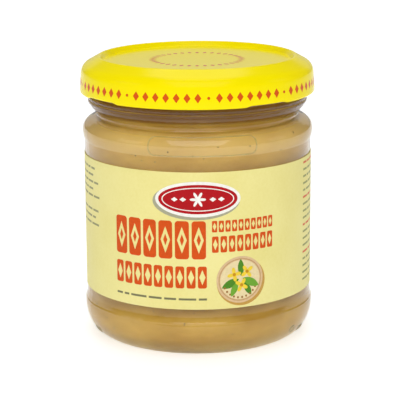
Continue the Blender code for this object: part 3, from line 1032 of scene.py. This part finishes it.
# %% The border
BORDER_GROUPS, BORDER_SLOTS = 9, 8
BORDER_HEIGHT = 75.3
BORDER_START = math.radians(-90 + 5.3 + 360 / (BORDER_GROUPS * BORDER_SLOTS))
SKIRT_SLOPE = (SKIRT_RADIUS - SKIRT_TOP_RADIUS) / (SKIRT_TOP - LID_LOW - 2 * CURL)
BORDER_RADIUS = SKIRT_RADIUS - SKIRT_SLOPE * (BORDER_HEIGHT - LID_LOW - 2 * CURL)
INK_FILM, INK_CLEAR = 0.012, 0.008
PANEL_HEIGHT = LID_HIGH - RECESS_DEPTH
PANEL_RING, PANEL_COUNT = 13.0, 36


def lid_ink(tree, place):
    """Orange-red ink on the lid's enamel, as smooth as the enamel."""
    colour = clouded(tree, place, PEEL_WIDTH, 2.0, "D9500A", "DC5A10")
    return add(tree, "ShaderNodeBsdfPrincipled", {
        "Base Color": colour, "Roughness": 0.2, "IOR": 1.5, "Specular IOR Level": 0.15})


LID_INK = new_material("Litho ink, cured", lid_ink)


def ring(name, motif, slot, **values):
    """Makes one ring of copies as a piece."""
    piece = grow(name, RING, values, motif)
    print(name, len(piece.data.polygons), "faces")
    dress(piece, slot)


skirt = dict(Count=BORDER_GROUPS * BORDER_SLOTS, Group=BORDER_SLOTS, Radius=(BORDER_RADIUS + INK_CLEAR) * MM,
             Height=BORDER_HEIGHT * MM, Start=BORDER_START, Lean=math.atan(SKIRT_SLOPE), Material=LID_INK)
ring("border_lozenges", flat_sheet("lozenge", [lozenge(0, 0, 1.9, 2.7)], INK_FILM * MM), "lid_enamel",
     First=0, Last=BORDER_SLOTS - 2, **skirt)
ring("border_dots", flat_sheet("dot", [oval(0, 0, 0.42, 0.42, 16)], INK_FILM * MM), "lid_enamel",
     First=BORDER_SLOTS - 1, Last=BORDER_SLOTS - 1, **skirt)
ring("panel_ring", flat_sheet("small lozenge", [lozenge(0, 0, 1.3, 2.4)], INK_FILM * MM), "lid_enamel",
     Count=PANEL_COUNT, Group=1, First=0, Last=0, Radius=PANEL_RING * MM, Start=0.0, Lean=math.pi / 2,
     Height=(PANEL_HEIGHT + INK_CLEAR) * MM, Material=LID_INK)

# %% [markdown]
# ## Grip bars under the base
#
# Inside the bearing ring, on the slope of the push-up, the mould leaves a ring of short raised bars. They are
# glass, half sunk into the base, and they stay clear of the table.

# %% Grip bars
GRIP_COUNT = 90
GRIP_RADIUS, GRIP_HEIGHT = 24.6, 0.45
GRIP_LEAN = math.radians(-118)


def pebble(name, width, length, depth):
    """A low rounded bar, half of it above its own base plane."""
    form = bmesh.new()
    bmesh.ops.create_uvsphere(form, u_segments=10, v_segments=6, radius=1.0)
    for vertex in form.verts:
        vertex.co = (vertex.co.x * width / 2 * MM, vertex.co.y * length / 2 * MM, vertex.co.z * depth * MM)
    mesh = bpy.data.meshes.new(name)
    form.to_mesh(mesh)
    form.free()
    return mesh


ring("grip_bars", pebble("bar", 0.7, 1.4, 0.2), "glass", Count=GRIP_COUNT, Group=1, First=0, Last=0,
     Radius=GRIP_RADIUS * MM, Height=GRIP_HEIGHT * MM, Start=0.0, Lean=GRIP_LEAN, Material=GLASS)

# %% [markdown]
# ## Knurls on the heel
#
# Low on the heel, to the left and right of the front, stand two groups of three short bars, as moulds leave
# them for the machine that turns the jar to its label. They are three places of the same ring of copies.

# %% Knurls on the heel
KNURL_HEIGHT = 3.1
KNURL_LEAN = math.radians(-32)

for side, bearing in (("left", -158.0), ("right", -25.0)):
    ring("heel_marks_" + side, pebble("mark", 0.6, 2.2, 0.24), "glass", Count=180, Group=180, First=0, Last=2,
         Radius=heel_radius(KNURL_HEIGHT) * MM, Height=KNURL_HEIGHT * MM, Start=math.radians(bearing),
         Lean=KNURL_LEAN, Material=GLASS)

# %% [markdown]
# ## Floor and light
#
# The jar stands on a wide white table that is lit from inside, as product photographers use for a white
# ground without shadows. A large softbox in front and above gives the colours, one above and behind lights
# the lid's sunk panel, one behind the jar keeps the ground white, and two weak ones fill the flanks. A
# softbox is set by how bright its face is, and its power follows from its area. The camera doesn't see the
# boxes themselves.

# %% Floor and light
FLOOR_SIZE = 6.0
FLOOR_CLOUD = 1 / 3
FLOOR_GLOW, ROOM_GLOW = 0.52, 0.17


def pale_floor(tree, place):
    """A matt white board, faintly lit from inside."""
    colour = clouded(tree, place, FLOOR_CLOUD, 2.0, "E9E9E8", "EDEDED")
    return add(tree, "ShaderNodeBsdfPrincipled", {
        "Base Color": colour, "Roughness": 0.7, "Emission Color": linear("FFFFFF"),
        "Emission Strength": FLOOR_GLOW})


form = bmesh.new()
bmesh.ops.create_grid(form, x_segments=8, y_segments=8, size=FLOOR_SIZE / 2)
floor_mesh = bpy.data.meshes.new("floor")
form.to_mesh(floor_mesh)
form.free()
floor_mesh.materials.append(new_material("White board, lit", pale_floor))
into_scene("floor", floor_mesh)

world = bpy.data.worlds.new("room")
world.use_nodes = True
sky = world.node_tree.nodes["Background"].inputs
sky["Color"].default_value = linear("FFFFFF")
sky["Strength"].default_value = ROOM_GLOW
bpy.context.scene.world = world


def softbox(name, place, aim, width, height, brightness):
    """A rectangular lamp whose face has this radiance."""
    lamp = bpy.data.lights.new(name, "AREA")
    lamp.shape = "RECTANGLE"
    lamp.size, lamp.size_y = width, height
    lamp.energy = brightness * math.pi * width * height
    box = into_scene(name, lamp)
    box.location = place
    box.rotation_euler = (Vector(aim) - Vector(place)).to_track_quat("-Z", "Y").to_euler()
    box.visible_camera = False


softbox("front box", (0, -1.05, 0.95), (0, 0, 0.06), 1.3, 1.3, 2.0)
softbox("left box", (-0.95, -0.31, 0.36), (0, 0, 0.06), 0.5, 0.4, 0.9)
softbox("right box", (1.0, -0.07, 0.36), (0, 0, 0.06), 0.4, 0.4, 0.6)
softbox("back box", (0, 1.6, 0.4), (0, 0, 0.1), 2.0, 0.6, 0.4)
softbox("top box", (0, 0.5, 2.0), (0, 0, 0), 1.2, 1.8, 2.6)
bpy.context.scene.view_settings.view_transform = "Standard"
print("floor and lamps are set")
